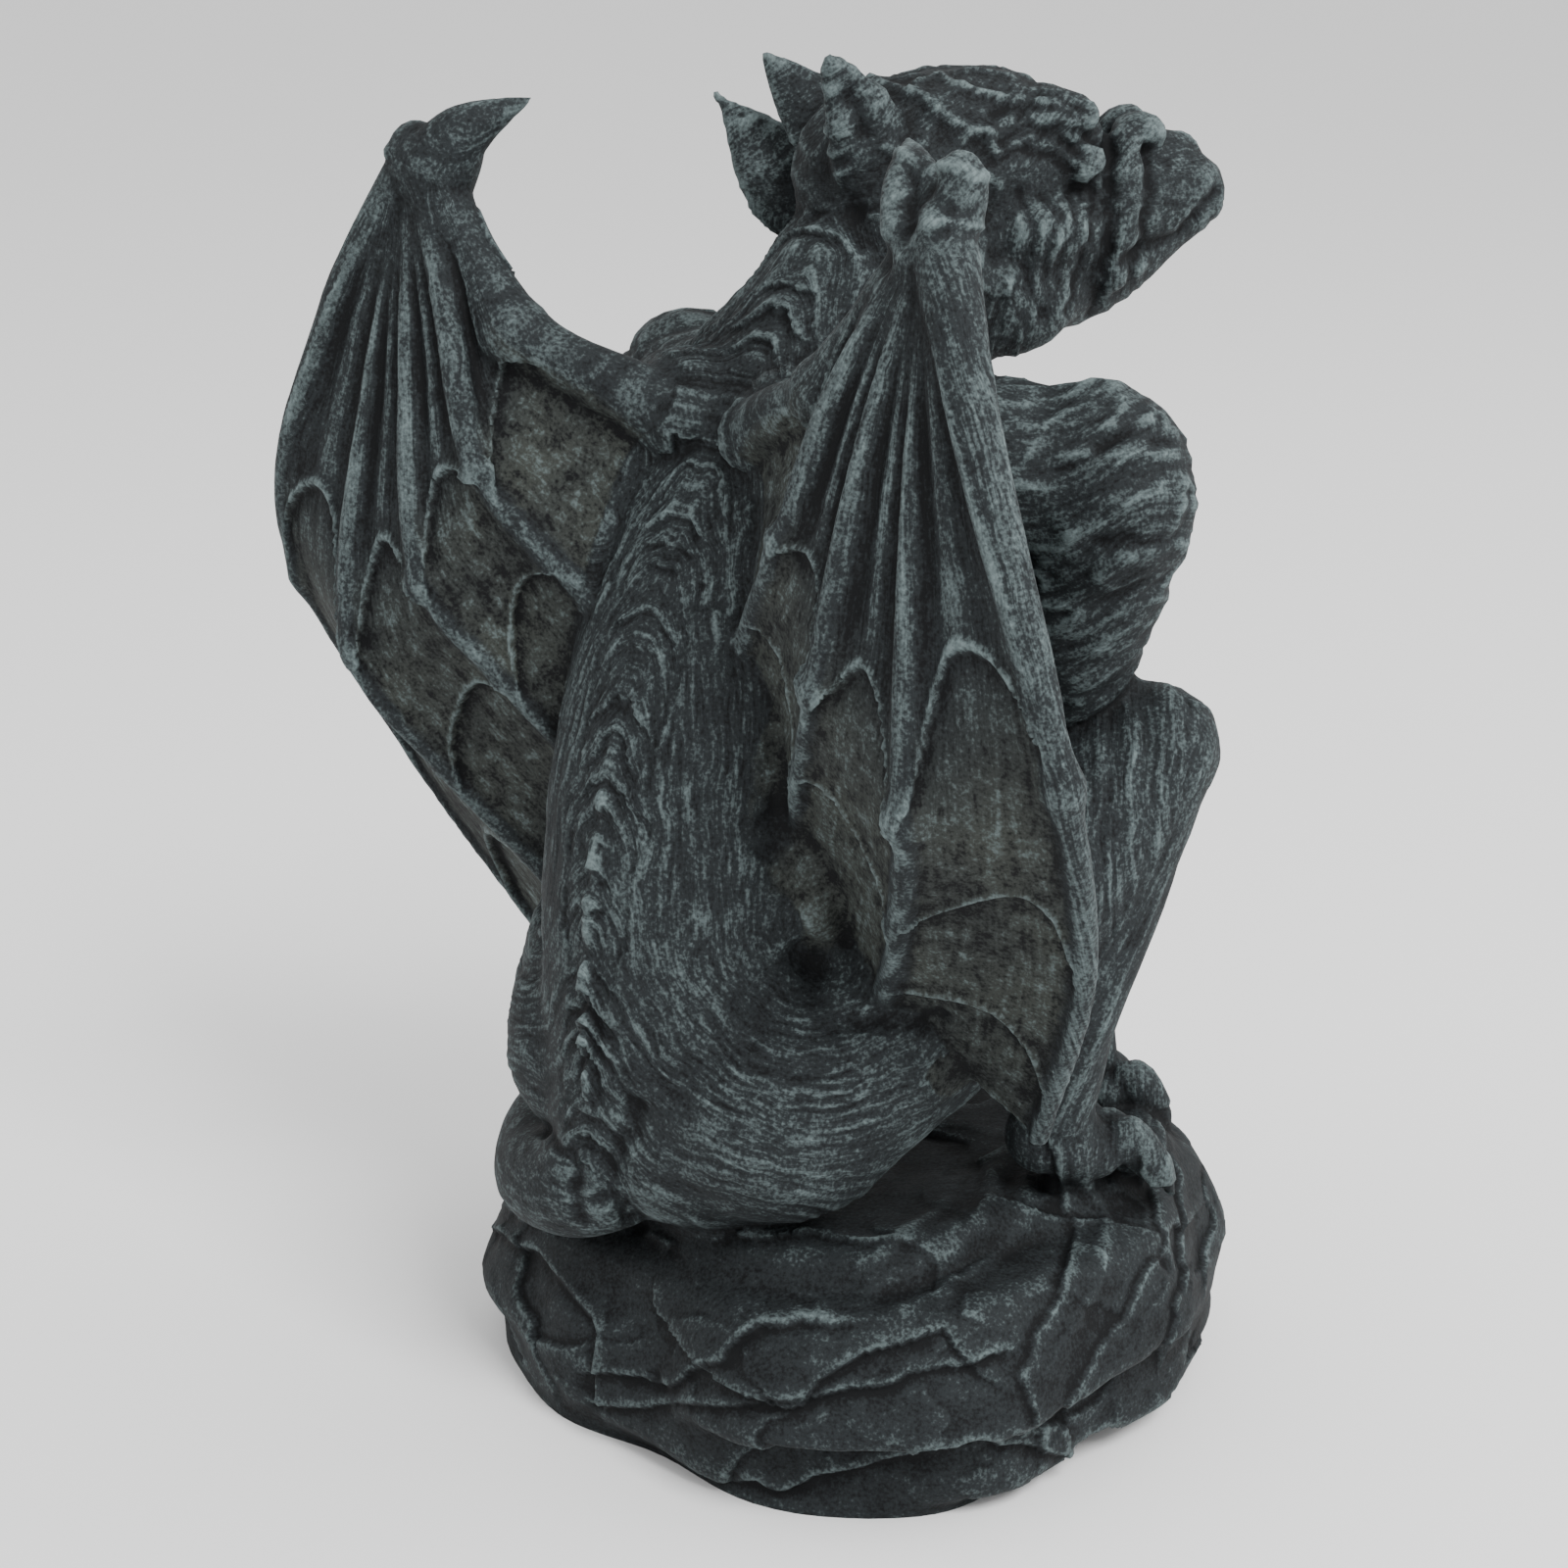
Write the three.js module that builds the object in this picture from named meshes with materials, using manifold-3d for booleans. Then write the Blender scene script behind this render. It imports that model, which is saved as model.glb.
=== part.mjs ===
// A winged gargoyle squatting on a rock, cast with it in one piece.
// Millimetres, +Z up. The figure faces -Y, and its right side is -X.
// The origin is the middle of the rock's underside.
import * as THREE from "three";
import { mergeVertices } from "three/addons/utils/BufferGeometryUtils.js";
import Module from "manifold-3d";

const wasm = await Module();
wasm.setup();

// Driving dimensions
const figureHeight = 200; // from the seat on the rock to the tips of the horns
const rockWidth = 118; // across the underside, side to side
const rockDepth = 116; // across the underside, front to back
const rockHeight = 44; // from the table to the seat
const membrane = 4.2; // thickness of a wing between its bones
const boneRise = 2.2; // how far a wing finger stands out of the skin, on each face
const headTurn = 30; // degrees that the head turns to the figure's right

// The pose is written for a figure 200 mm high, from the middle of its seat, and grows with figureHeight.
const share = figureHeight / 200;
const at = (x, y, z) => new THREE.Vector3(x * share, y * share, z * share + rockHeight);
const step = (x, y, z) => new THREE.Vector3(x, y, z).multiplyScalar(share);
const mirrored = (p, side) => new THREE.Vector3(p.x * side, p.y, p.z);
const up = new THREE.Vector3(0, 0, 1);
const sideways = new THREE.Vector3(1, 0, 0);

// A closed mesh as a solid that can be joined or cut.
function solid(geometry) {
  const bare = geometry.index ? geometry.toNonIndexed() : geometry.clone();
  bare.deleteAttribute("normal");
  bare.deleteAttribute("uv");
  const merged = mergeVertices(bare, 1e-4);
  return new wasm.Manifold(
    new wasm.Mesh({
      numProp: 3,
      vertProperties: merged.attributes.position.array,
      triVerts: new Uint32Array(merged.index.array),
    }),
  );
}

// Moves every vertex of a geometry to move(x, y, z).
function reshape(geometry, move) {
  const position = geometry.attributes.position;
  for (let i = 0; i < position.count; i++) {
    const p = move(position.getX(i), position.getY(i), position.getZ(i));
    position.setXYZ(i, p.x, p.y, p.z);
  }
  return geometry;
}

// A limb with round ends along a smooth curve. Each station is [point, half width, half depth].
// The width runs along across, as far as the curve allows. A round end takes capRows rows.
function limb(stations, { sides = 7, rows = 5, capRows = 1, across = sideways } = {}) {
  const curve = new THREE.CatmullRomCurve3(stations.map((s) => s[0]), false, "centripetal");
  const length = curve.getLength();
  const last = stations.length - 1;
  const sizeAt = (t, k) => {
    const i = Math.min(Math.floor(t * last), last - 1);
    const f = t * last - i;
    const pick = (s) => (s[k] ?? s[1]) * share;
    return pick(stations[i]) + (pick(stations[i + 1]) - pick(stations[i])) * f * f * (3 - 2 * f);
  };
  const total = rows + 2 * capRows;
  return solid(
    reshape(new THREE.SphereGeometry(1, sides, total), (x, y, z) => {
      const row = Math.round((Math.acos(THREE.MathUtils.clamp(y, -1, 1)) / Math.PI) * total);
      const t = THREE.MathUtils.clamp((row - capRows) / rows, 0, 1);
      const fromPole = Math.min(row, total - row);
      const swing = (Math.min(fromPole, capRows) / capRows) * (Math.PI / 2);
      const tangent = curve.getTangent(t);
      const side = across.clone().addScaledVector(tangent, -across.dot(tangent)).normalize();
      const depth = new THREE.Vector3().crossVectors(tangent, side);
      const ring = Math.hypot(x, z) || 1;
      const round = fromPole === 0 ? 0 : Math.sin(swing);
      const outwards = row < total / 2 ? -1 : 1;
      const beyond = outwards * Math.cos(swing) * Math.min(sizeAt(t, 1), sizeAt(t, 2));
      return curve
        .getPoint(t)
        .addScaledVector(tangent, fromPole < capRows ? beyond : 0)
        .addScaledVector(side, (x / ring) * round * sizeAt(t, 1))
        .addScaledVector(depth, (z / ring) * round * sizeAt(t, 2));
    }),
  );
}

// An ellipsoid with its long axis towards aim.
function lump(centre, [a, b, c], aim = null, segments = 6) {
  const geometry = new THREE.SphereGeometry(1, segments, Math.max(4, Math.round(segments * 0.62)));
  geometry.scale(a * share, b * share, c * share);
  if (aim) {
    const turned = new THREE.Quaternion().setFromUnitVectors(sideways, aim.clone().normalize());
    geometry.applyQuaternion(turned);
  }
  geometry.translate(centre.x, centre.y, centre.z);
  return solid(geometry);
}

// A claw, horn or fang: a limb that tapers to a point.
const spike = (points, root, options = {}) =>
  limb(
    points.map((p, i) => [p, Math.max(root * (1 - i / (points.length - 1)), 0.45)]),
    { sides: 5, rows: 3, ...options },
  );

// Rock: slabs of stone piled askew, each with its own broken outline, cut flat underneath.
// low and high are shares of rockHeight, taper is the top's share of the bottom, shift is in mm
// and tilt in mm per mm.
const slabs = [
  { low: -0.1, high: 0.36, swell: 0.99, taper: 0.97, shift: [1, 1], turn: 0.4, tilt: [0, 0] },
  { low: 0.16, high: 0.6, swell: 1.05, taper: 0.98, shift: [-1, -1], turn: 1.7, tilt: [0.05, -0.04] },
  { low: 0.34, high: 0.84, swell: 1.15, taper: 0.88, shift: [-3, -3], turn: 2.9, tilt: [-0.07, -0.03] },
  { low: 0.6, high: 1.02, swell: 0.95, taper: 0.88, shift: [-3, -4], turn: 4.4, tilt: [-0.05, -0.03] },
];
const squareness = 3; // exponent of the plan's rounded square: 2 would be an ellipse

function brokenOutline(angle, turn) {
  const sum = Math.abs(Math.cos(angle)) ** squareness + Math.abs(Math.sin(angle)) ** squareness;
  const chips =
    0.03 * Math.sin(2 * angle + turn) +
    0.03 * Math.sin(3 * angle + 2.1 * turn) +
    0.024 * Math.sin(5 * angle + 3.7 * turn) +
    0.018 * Math.sin(9 * angle + 5.3 * turn);
  return sum ** (-1 / squareness) * (1 + chips);
}

function slab({ low, high, swell, taper, shift, turn, tilt }) {
  const geometry = new THREE.CylinderGeometry(0.98 * taper, 0.98, 1, 18, 1);
  geometry.rotateX(Math.PI / 2);
  return solid(
    reshape(geometry, (x, y, z) => {
      const angle = Math.atan2(y, x);
      const reach = Math.hypot(x, y) < 1e-6 ? 0 : swell * brokenOutline(angle, turn);
      const px = ((x * rockWidth) / 2) * reach + shift[0];
      const py = ((y * rockDepth) / 2) * reach + shift[1];
      const level = (low + (z + 0.5) * (high - low)) * rockHeight;
      return new THREE.Vector3(px, py, level + tilt[0] * px + tilt[1] * py);
    }),
  );
}

function rock() {
  const table = new THREE.BoxGeometry(4 * rockWidth, 4 * rockDepth, rockHeight);
  table.translate(0, 0, -rockHeight / 2);
  return wasm.Manifold.union(slabs.map(slab)).subtract(solid(table));
}

// Trunk, from the seat up the hunched back to the neck.
const trunkLine = [
  [at(0, 42, 20), 27, 22],
  [at(0, 41, 55), 28, 22],
  [at(0, 32, 85), 32, 25],
  [at(0, 16, 115), 38, 27],
  [at(0, 4, 138), 34, 24],
  [at(-1, -3, 156), 21, 19],
];

const bellyLine = [
  [at(0, 22, 34), 21, 17],
  [at(0, 10, 70), 24, 18],
  [at(0, -4, 104), 30, 15],
  [at(0, -8, 128), 32, 13],
];

function trunk() {
  const pieces = [
    limb(trunkLine, { sides: 12, rows: 7, capRows: 2 }),
    limb(bellyLine, { sides: 8, rows: 4 }),
  ];
  for (const side of [-1, 1]) {
    const p = (x, y, z) => mirrored(at(x, y, z), side);
    pieces.push(lump(p(30, 0, 133), [24, 17, 15], null, 8));
    pieces.push(lump(p(13, 27, 139), [12, 9, 12]));
    pieces.push(limb([[p(33, 20, 122), 10], [p(31, 30, 96), 9], [p(25, 38, 66), 9]], { sides: 6, rows: 3 }));
  }
  return pieces;
}

// Row of bony knobs down the middle of the back, smaller towards the neck and the tail.
const backPlaces = [[-1, 10, 166], [0, 28, 141], [0, 44, 115], [0, 57, 86], [0, 64, 55], [0, 65, 26]];
const backLine = new THREE.CatmullRomCurve3(backPlaces.map((q) => at(...q)), false, "centripetal");
function crest() {
  const knobs = 10;
  return Array.from({ length: knobs }, (_, i) => {
    const t = (i + 0.5) / knobs;
    const size = 2.4 + 1.6 * Math.sin(t * Math.PI);
    return lump(backLine.getPointAt(t), [size * 1.5, size, size], backLine.getTangentAt(t), 4);
  });
}

// Tail, off the rump and round the rock's left side to the front.
const tailLine = [
  [at(0, 50, 18), 15],
  [at(10, 56, 6), 10.5],
  [at(29, 51, 0), 8.5],
  [at(48, 31, 0), 7],
  [at(54, 4, 1), 5.5],
  [at(51, -22, 1), 4.2],
  [at(40, -40, 2), 2.6],
];
const tail = () => [
  limb(tailLine, { sides: 5, rows: 12, across: up }),
  lump(at(34, -46, 2), [9, 5, 2.6], step(-1, -1.1, 0), 5),
];

// Toes or fingers that spread from a root, each drawn out into a claw.
// Each digit's way turns by spread radians from -Y.
function digits(rootAt, side, { spreads, length, thick, rise, drop, claw, clawDrop }) {
  return spreads.map((spread) => {
    const way = new THREE.Vector3(side * Math.sin(spread), -Math.cos(spread), 0);
    const root = rootAt(spread);
    const knuckle = root.clone().addScaledVector(way, length * 0.5 * share).add(step(0, 0, rise));
    const tip = root.clone().addScaledVector(way, length * share).add(step(0, 0, -drop));
    const nail = tip.clone().addScaledVector(way, claw * 0.6 * share).add(step(0, 0, -clawDrop * 0.3));
    const point = tip.clone().addScaledVector(way, claw * share).add(step(0, 0, -clawDrop));
    const bones = [[root, thick], [knuckle, thick * 1.05], [tip, thick * 0.8]];
    return limb([...bones, [nail, thick * 0.5], [point, 0.5]], { sides: 5, rows: 3 });
  });
}

// Leg: haunch, shin and a foot with clawed toes that grips the rock.
function leg(side) {
  const p = (x, y, z) => mirrored(at(x, y, z), side);
  const haunch = [[p(18, 37, 26), 24, 23], [p(38, 8, 54), 21, 19], [p(52, -22, 83), 12, 11.5]];
  const shin = [[p(52, -22, 82), 11], [p(51, -11, 57), 10.5], [p(50, -3, 38), 9], [p(48, -2, 20), 7.5]];
  return [
    limb(haunch, { sides: 9, rows: 6 }),
    limb(shin, { rows: 4 }),
    limb([[p(48, -1, 14), 8.5, 7], [p(48, -9, 11), 9.5, 6.5]], { sides: 7, rows: 1 }),
    ...digits((spread) => p(48 + spread * 12, -11, 10), side, {
      spreads: [-0.45, -0.12, 0.22, 0.5],
      length: 12,
      thick: 4,
      rise: 2.5,
      drop: 3,
      claw: 4.5,
      clawDrop: 5,
    }),
  ];
}

// Arm: shoulder, upper arm, forearm between the knees, and a hand on the rock's front edge.
function arm(side) {
  const p = (x, y, z) => mirrored(at(x, y, z), side);
  return [
    lump(p(49, -8, 130), [17, 15, 19], null, 8),
    limb([[p(49, -10, 124), 14.5], [p(41, -12, 104), 12.5], [p(34, -17, 87), 9.5]], { rows: 4 }),
    limb([[p(34, -18, 86), 9.5], [p(29, -30, 58), 9.5], [p(24, -38, 28), 6.5]], { rows: 4 }),
    limb([[p(24, -38, 24), 7, 6], [p(23, -41, 8), 8.5, 5.5]], { sides: 7, rows: 1 }),
    ...digits((spread) => p(23 + spread * 13, -42, 6), side, {
      spreads: [-0.5, -0.12, 0.25, 0.62],
      length: 11,
      thick: 3.6,
      rise: 1.5,
      drop: 4,
      claw: 4,
      clawDrop: 7,
    }),
  ];
}

// Head. Local axes: forward, right, up, from the middle of the skull.
const headCentre = at(-4, -17, 172);
const turn = THREE.MathUtils.degToRad(headTurn);
const forward = new THREE.Vector3(-Math.sin(turn), -Math.cos(turn), 0);
const rightward = new THREE.Vector3().crossVectors(forward, up);
const inHead = (f, r, u) =>
  headCentre
    .clone()
    .addScaledVector(forward, f * share)
    .addScaledVector(rightward, r * share)
    .addScaledVector(up, u * share);
const headWay = (f, r, u) => inHead(f, r, u).sub(headCentre).normalize();

function head() {
  const faceOn = { sides: 8, rows: 3, across: rightward };
  const neck = [[at(0, 2, 148), 21, 19], [at(-3, -8, 163), 18, 17], [inHead(-6, 0, 0), 15, 15]];
  const skull = [[inHead(-10, 0, 5), 15.5, 17], [inHead(8, 0, 8), 15, 16], [inHead(19, 0, 7), 12, 12]];
  const muzzle = [[inHead(14, 0, -5), 13, 13], [inHead(30, 0, -3), 11.5, 12], [inHead(44.5, 0, 1), 8.5, 9]];
  const jaw = [[inHead(10, 0, -15), 12, 10], [inHead(28, 0, -15), 9, 8], [inHead(46, 0, -6), 6, 5]];
  const pieces = [
    limb(neck, { sides: 9, rows: 3 }),
    limb(skull, { ...faceOn, sides: 10 }),
    limb(muzzle, faceOn),
    limb(jaw, faceOn),
    limb([[inHead(16, 0, 9), 5.5, 4], [inHead(33, 0, 9), 4.5, 4]], { ...faceOn, sides: 5, rows: 1 }),
  ];
  for (const side of [-1, 1]) {
    const h = (f, r, u) => inHead(f, r * side, u);
    pieces.push(lump(h(16, 8, 16), [11, 6.5, 5], headWay(1, side * 0.35, 0.05), 6));
    pieces.push(lump(h(23, 10.5, 7), [4.6, 4.6, 4.6], null, 6));
    pieces.push(lump(h(15, 11, -3), [11, 6.5, 6.5], headWay(1, -side * 0.1, -0.1), 6));
    pieces.push(lump(h(10, 10, -15), [13, 6, 10.5], headWay(1, -side * 0.2, 0.1), 7));
    pieces.push(lump(h(36, 4.6, 14), [5.6, 4.4, 4.6], null, 6));
    const fold = [[h(33, 6, 9), 2.4], [h(32, 11, -4), 2.6], [h(32, 9.5, -17), 2.4]];
    pieces.push(limb(fold, { sides: 4, rows: 2 }));
    pieces.push(spike([h(36, 7, -14), h(36.5, 7.5, -11), h(36, 7.5, -7)], 2.2, { sides: 4, rows: 1 }));
  }
  // The ears differ: the left pair stands out, and on the right side the lower one lies back on the neck.
  const leftHorn = [inHead(-12, -9, 10), inHead(-21, -12, 18), inHead(-28, -14, 26)];
  const rightHorn = [inHead(-14, 10, 11), inHead(-19, 13, 20), inHead(-24, 14, 28)];
  const leftEar = [[inHead(-11, -13, -4), 4, 6], [inHead(-21, -17, 2), 3.4, 9], [inHead(-34, -24, 18), 0.7]];
  const rightEar = [[inHead(-8, 13, -6), 4, 6], [inHead(-17, 14, -9), 3.4, 8], [inHead(-25, 14, -8), 0.8]];
  const earOptions = { sides: 6, rows: 4, across: rightward };
  pieces.push(spike(leftHorn, 6.2), spike(rightHorn, 6.2));
  pieces.push(limb(leftEar, earOptions), limb(rightEar, earOptions));
  return pieces;
}

// Wing: an arm and four fingers that fan out from the wrist, with a skin stretched between them.
// Each ray is a bone line from the wrist to the skin's edge, the arm first and the leading finger last.
const wrist = [61, 45, 180];
const wingRays = [
  [wrist, [50, 44, 166], [37, 43, 152], [22, 38, 146], [9, 33, 138]],
  [wrist, [48, 50, 156], [38, 53, 131], [28, 49, 118], [18, 43, 107]],
  [wrist, [55, 52, 148], [49, 57, 111], [39, 50, 94], [27, 41, 78]],
  [wrist, [65, 53, 140], [68, 58, 95], [57, 47, 71], [41, 33, 48]],
  [wrist, [79, 50, 150], [96, 49, 103], [84, 33, 64], [61, 17, 25]],
];
const wristGap = 0.06; // share of each ray that the wrist's knuckle covers
const jointPlace = 0.52; // share of a ray at which a finger has its joint

function wing(side) {
  const p = (x, y, z) => mirrored(at(x, y, z), side);
  const boneLine = (ray) => new THREE.CatmullRomCurve3(ray.map((q) => p(...q)), false, "centripetal");
  const rays = wingRays.map(boneLine);
  const spans = rays.length - 1;
  const ridge = boneRise * 1.5; // from a bone's crest to its foot, along the skin
  const columns = 4; // a span's bone, the bone's foot, the middle and the next bone's foot
  const spanAt = (column) => Math.min(Math.floor(column / columns), spans - 1);
  const skinAt = (column, v) => {
    const span = spanAt(column);
    const place = column - span * columns;
    const along = wristGap + v * (1 - wristGap);
    const a = rays[span].getPointAt(along);
    const b = rays[span + 1].getPointAt(along);
    const foot = Math.min(ridge / a.distanceTo(b), 0.3);
    const f = [0, foot, 0.5, 1 - foot, 1][Math.round(place)];
    const slack = Math.sin(f * Math.PI);
    return a.lerp(b, f).add(step(0, -2.6 * v * slack, -2 * v ** 6 * slack));
  };
  const height = (column, v) => {
    const onBone = column % columns === 0;
    const joint = Math.exp(-(((wristGap + v * (1 - wristGap) - jointPlace) / 0.035) ** 2));
    return membrane / 2 + (onBone ? boneRise * (1 - 0.5 * v + 0.7 * joint) : 0);
  };
  const total = spans * columns;
  const skin = reshape(new THREE.BoxGeometry(1, 1, 1, total, 8, 1), (x, y, z) => {
    const column = Math.round((x + 0.5) * total);
    const v = y + 0.5;
    const du = skinAt(Math.min(column + 1, total), v).sub(skinAt(Math.max(column - 1, 0), v));
    const dv = skinAt(column, Math.min(v + 0.02, 1)).sub(skinAt(column, Math.max(v - 0.02, 0)));
    return skinAt(column, v).addScaledVector(du.cross(dv).normalize(), Math.sign(z) * height(column, v));
  });
  const upper = [[p(37, 44, 152), 6], [p(23, 39, 146), 5.5], [p(9, 31, 139), 7]];
  return [
    solid(skin),
    limb([[p(60, 45, 179), 6.5], [p(48, 45, 164), 5], ...upper], { sides: 6, rows: 8 }),
    limb([[p(61, 46, 177), 5], [p(79, 50, 150), 4], [p(93, 50, 108), 5.5]], { sides: 6, rows: 4 }),
    lump(p(62, 45, 181), [5.5, 5.5, 6], null, 6),
    spike([p(57, 44, 179), p(52, 41, 185), p(44, 34, 190)], 7.5, { sides: 6, rows: 3 }),
  ];
}

// The whole casting
const stone = new THREE.MeshStandardMaterial({ name: "cast stone", color: 0x3a4341, roughness: 0.85 });

function casting() {
  const limbs = [-1, 1].flatMap((side) => [...leg(side), ...arm(side), ...wing(side)]);
  const body = [rock(), ...trunk(), ...crest(), ...tail(), ...head()];
  const mesh = wasm.Manifold.union([...body, ...limbs]).getMesh();
  const positions = new Float32Array(mesh.numVert * 3);
  for (let i = 0; i < mesh.numVert; i++) {
    const start = i * mesh.numProp;
    positions.set(mesh.vertProperties.subarray(start, start + 3), i * 3);
  }
  return new THREE.BufferGeometry()
    .setAttribute("position", new THREE.BufferAttribute(positions, 3))
    .setIndex(new THREE.BufferAttribute(mesh.triVerts, 1));
}

const gargoyle = new THREE.Mesh(casting(), stone);
gargoyle.name = "gargoyle_on_rock";

const statue = new THREE.Group();
statue.add(gargoyle);

export default statue;
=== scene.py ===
import bpy
import bmesh
import math
import numpy as np
from mathutils import Matrix, Vector
from mathutils.bvhtree import BVHTree
from mathutils.kdtree import KDTree


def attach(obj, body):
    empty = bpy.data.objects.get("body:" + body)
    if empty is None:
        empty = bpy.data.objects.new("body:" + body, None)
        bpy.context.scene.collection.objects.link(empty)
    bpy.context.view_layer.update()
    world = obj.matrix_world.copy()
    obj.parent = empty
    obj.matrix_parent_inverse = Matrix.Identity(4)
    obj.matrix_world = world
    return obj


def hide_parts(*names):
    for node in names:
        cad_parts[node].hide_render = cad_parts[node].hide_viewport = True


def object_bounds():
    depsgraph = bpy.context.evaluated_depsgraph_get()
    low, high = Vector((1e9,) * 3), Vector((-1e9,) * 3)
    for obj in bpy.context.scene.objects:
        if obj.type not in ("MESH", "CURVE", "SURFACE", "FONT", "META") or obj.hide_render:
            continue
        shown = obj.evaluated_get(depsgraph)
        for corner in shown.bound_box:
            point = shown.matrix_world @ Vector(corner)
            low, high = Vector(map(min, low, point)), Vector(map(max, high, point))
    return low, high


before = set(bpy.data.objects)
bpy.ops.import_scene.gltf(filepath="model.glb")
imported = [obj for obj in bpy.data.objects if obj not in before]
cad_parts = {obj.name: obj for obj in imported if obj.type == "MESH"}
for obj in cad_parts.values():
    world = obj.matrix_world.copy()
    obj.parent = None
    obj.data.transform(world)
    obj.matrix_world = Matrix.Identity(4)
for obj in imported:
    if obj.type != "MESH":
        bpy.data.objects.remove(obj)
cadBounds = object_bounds()
mm = 0.001  # sizes below are millimetres in the shared frame

# Camera at the photo's angle. Pixels named below are those of the 1600 pixel photo.
view = {
    "azimuth": 45.0,  # degrees from straight behind, towards the figure's right
    "elevation": 18.0,
    "distance": 560.0,
    "pixelsPerRadian": 3150.0,
    "target": (8.34, 8.34, 113.3),
}
azimuth = math.radians(view["azimuth"])
elevation = math.radians(view["elevation"])
level = math.cos(elevation)
viewBack = np.array([-math.sin(azimuth) * level, math.cos(azimuth) * level, math.sin(elevation)])
viewRight = np.array([-math.cos(azimuth), -math.sin(azimuth), 0.0])
viewUp = np.cross(viewBack, viewRight)
viewPlace = np.array(view["target"]) + view["distance"] * viewBack


# Pixels of the photo that points, in mm, fall on
def pixelOf(points):
    d = points - np.array(view["target"])
    depth = view["distance"] - d @ viewBack
    k = view["pixelsPerRadian"] / depth
    return np.stack([800 + k * (d @ viewRight), 800 - k * (d @ viewUp)], axis=1)


# Noise and number helpers

def smoothStep(a, b, x):
    t = np.clip((x - a) / (b - a), 0, 1)
    return t * t * (3 - 2 * t)


# Smooth random values from 0 to 1 over a plane
def noise(a, b, seed):
    table = np.random.RandomState(seed).rand(256, 256)
    ia, ib = np.floor(a).astype(int), np.floor(b).astype(int)
    fa, fb = a - ia, b - ib
    fa, fb = fa * fa * (3 - 2 * fa), fb * fb * (3 - 2 * fb)
    at = lambda i, j: table[(ia + i) % 256, (ib + j) % 256]
    return (at(0, 0) * (1 - fa) + at(1, 0) * fa) * (1 - fb) + (at(0, 1) * (1 - fa) + at(1, 1) * fa) * fb


# Random lines: 1 on a line, 0 between
def ridged(a, b, seed):
    return 1 - np.abs(2 * noise(a, b, seed) - 1)


# Crests side by side along b that waver, fade and come back
def comb(a, b, seed):
    phase = a + 1.3 * noise(a / 2.4, b * 1.3, seed) + 0.35 * noise(a * 1.3, b * 3.1, seed + 60)
    crest = 1 - np.abs(2 * (phase - np.floor(phase)) - 1)
    return crest * (0.3 + 1.1 * noise(a + 50, b * 2.3, seed + 30))


# Catmull-Rom curve through rows of numbers
def curve(points, count):
    p = np.array(points, float)
    ends = np.vstack([2 * p[0] - p[1], p, 2 * p[-1] - p[-2]])
    t = np.linspace(0, len(p) - 1, count)
    i = np.minimum(t.astype(int), len(p) - 2)
    f = (t - i)[:, None]
    a, b, c, d = ends[i], ends[i + 1], ends[i + 2], ends[i + 3]
    return 0.5 * (2 * b + (c - a) * f + (2 * a - 5 * b + 4 * c - d) * f**2 + (3 * b - a - 3 * c + d) * f**3)


# Shapes, added to a bmesh in millimetres

# Skin over closed rings of points, with a point at each end
def addRings(bm, rings, ends):
    verts = [[bm.verts.new(p) for p in ring] for ring in rings]
    first, last = bm.verts.new(ends[0]), bm.verts.new(ends[1])
    n = len(rings[0])
    for low, high in zip(verts, verts[1:]):
        for j in range(n):
            bm.faces.new((low[j], low[(j + 1) % n], high[(j + 1) % n], high[j]))
    for j in range(n):
        bm.faces.new((first, verts[0][(j + 1) % n], verts[0][j]))
        bm.faces.new((last, verts[-1][j], verts[-1][(j + 1) % n]))


# Round-ended limb. A station is x, y, z, half width and half depth
def addLimb(bm, stations, sides=18, rows=22, across=(1, 0, 0)):
    full = [list(s) + [s[3]] if len(s) == 4 else list(s) for s in stations]
    line = curve(full, rows)
    line[:, 3:] = np.maximum(line[:, 3:], 0.35)
    tangents = np.gradient(line[:, :3], axis=0)
    tangents /= np.linalg.norm(tangents, axis=1)[:, None]
    across = np.array(across, float)
    angles = np.arange(sides) / sides * 2 * math.pi
    rings = []
    caps = [(k, math.sin(k), math.cos(k)) for k in (0.35, 0.75, 1.15)]

    def ring(i, grow, beyond):
        t = tangents[i]
        side = across - t * (across @ t)
        side /= np.linalg.norm(side)
        depth = np.cross(t, side)
        centre = line[i, :3] + t * beyond * min(line[i, 3], line[i, 4])
        w, d = line[i, 3] * grow, line[i, 4] * grow
        return [centre + side * w * math.cos(a) + depth * d * math.sin(a) for a in angles]

    for k, s, c in caps:
        rings.append(ring(0, s, -c))
    for i in range(rows):
        rings.append(ring(i, 1.0, 0.0))
    for k, s, c in reversed(caps):
        rings.append(ring(rows - 1, s, c))
    start = line[0, :3] - tangents[0] * min(line[0, 3], line[0, 4])
    stop = line[-1, :3] + tangents[-1] * min(line[-1, 3], line[-1, 4])
    addRings(bm, rings, (start, stop))


# Ellipsoid with its long axis towards aim
def addLump(bm, centre, radii, aim=None):
    turn = Matrix()
    if aim is not None:
        turn = Vector((1, 0, 0)).rotation_difference(Vector(aim)).to_matrix().to_4x4()
    place = Matrix.Translation(Vector(centre)) @ turn @ Matrix.Diagonal((*radii, 1))
    bmesh.ops.create_icosphere(bm, subdivisions=3, radius=1, matrix=place)


def sided(p, side):
    return [p[0] * side, *p[1:]]


def asObject(bm, name):
    mesh = bpy.data.meshes.new(name)
    bmesh.ops.recalc_face_normals(bm, faces=bm.faces)
    bm.to_mesh(mesh)
    bm.free()
    obj = bpy.data.objects.new(name, mesh)
    bpy.context.scene.collection.objects.link(obj)
    return obj


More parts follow.
